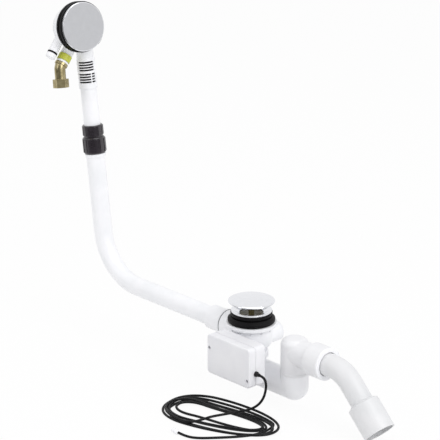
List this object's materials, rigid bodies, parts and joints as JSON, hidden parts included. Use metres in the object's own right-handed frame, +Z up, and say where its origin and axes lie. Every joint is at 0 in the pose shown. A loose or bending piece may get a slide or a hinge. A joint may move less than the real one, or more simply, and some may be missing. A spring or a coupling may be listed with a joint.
{
  "type": "bath waste and overflow",
  "caption": "Motor-driven bath waste with pop-up plug, low trap and angled outlet bend, joined by a bent telescopic pipe to a filling overflow head; coiled control cable.",
  "frame": {"origin": "on the waste's axis, level with the upper face of the bath floor that the waste seal's groove grips", "axes": "+Z up along the waste and its plug, +X with the water to the outlet, -X to the overflow pipe, the motor's box on the -Y side"},
  "size_m": [0.8026, 0.29, 0.6261],
  "materials": {
    "white_plastic": "satin",
    "natural_plastic": "satin",
    "black_plastic": "satin",
    "black_rubber": "matte",
    "grey_rubber": "satin",
    "chrome": "polished",
    "brass": "satin",
    "clip_green": "satin",
    "steel": "satin",
    "board_green": "satin",
    "cable_sheath": "satin"
  },
  "bodies": {
    "waste": {"waste_body": "white_plastic", "bath_seal": "black_rubber", "waste_flange": "chrome", "stem_guide": "natural_plastic", "shaft_bush": "natural_plastic", "shaft_seal": "black_rubber", "blanking_cap": "white_plastic", "blanking_seal": "black_rubber", "trap_nut": "white_plastic", "trap_seal": "black_rubber", "trap_bend": "white_plastic", "trap_outlet": "white_plastic", "trap_joint_seal": "black_rubber", "outlet_snap_ring": "white_plastic", "outlet_lip_seal": "black_rubber", "overflow_bend_tube": "white_plastic", "inlet_collar": "white_plastic", "inlet_gasket": "grey_rubber", "coupling_nut": "black_plastic", "coupling_collar": "black_plastic", "coupling_seal": "black_rubber", "actuator_housing": "white_plastic", "actuator_cover": "white_plastic", "housing_gasket": "grey_rubber", "cover_screws": "steel", "gear_motor": "steel", "circuit_board": "board_green", "cable_gland": "black_plastic", "cable_run": "cable_sheath", "cable_coil": "cable_sheath", "cable_tail": "cable_sheath", "cable_connector": "white_plastic"},
    "plug": {"plug_cap": "chrome", "plug_stem": "brass", "plug_seal": "black_rubber"},
    "camshaft": {"lift_camshaft": "brass"},
    "overflow_tube": {"overflow_upper_tube": "white_plastic"},
    "overflow_head": {"overflow_head": "white_plastic", "overflow_rosette": "chrome", "overflow_seal": "black_rubber", "overflow_insert": "white_plastic", "air_membrane": "black_rubber", "check_valve": "natural_plastic", "valve_cap": "white_plastic", "valve_cap_seal": "black_rubber", "retaining_clip": "clip_green"},
    "inlet_elbow": {"brass_elbow": "brass", "elbow_seal": "black_rubber"},
    "outlet_bend": {"outlet_bend": "white_plastic", "outlet_end_seal": "black_rubber"}
  },
  "joints": [
    {"name": "cam_turn", "type": "hinge", "parent": "waste", "child": "camshaft", "pos_m": [0, 0, -0.048], "axis": [0, 1, 0], "range_deg": [0, 150]},
    {"name": "plug_lift", "type": "slide", "parent": "waste", "child": "plug", "axis": [0, 0, 1], "range_m": [-0.012, 0]},
    {"name": "overflow_telescope", "type": "slide", "parent": "waste", "child": "overflow_tube", "axis": [-0.1305, 0, 0.9914], "range_m": [-0.06, 0.05]},
    {"name": "head_swivel", "type": "hinge", "parent": "overflow_tube", "child": "overflow_head", "pos_m": [-0.44666, 0, 0.43336], "axis": [-0.1305, 0, 0.9914], "range_deg": [-30, 30]},
    {"name": "inlet_swivel", "type": "hinge", "parent": "overflow_head", "child": "inlet_elbow", "pos_m": [-0.44277, -0.04529, 0.37765], "axis": [0.0897, -0.6587, -0.7471], "range_deg": [-45, 45]},
    {"name": "outlet_swivel", "type": "hinge", "parent": "waste", "child": "outlet_bend", "pos_m": [0.17, 0, -0.038], "axis": [1, 0, 0], "range_deg": [-180, 180]}
  ],
  "couplings": [
    {"joint": "cam_turn", "follows": "plug_lift", "rad_per_m": -218.16}
  ]
}
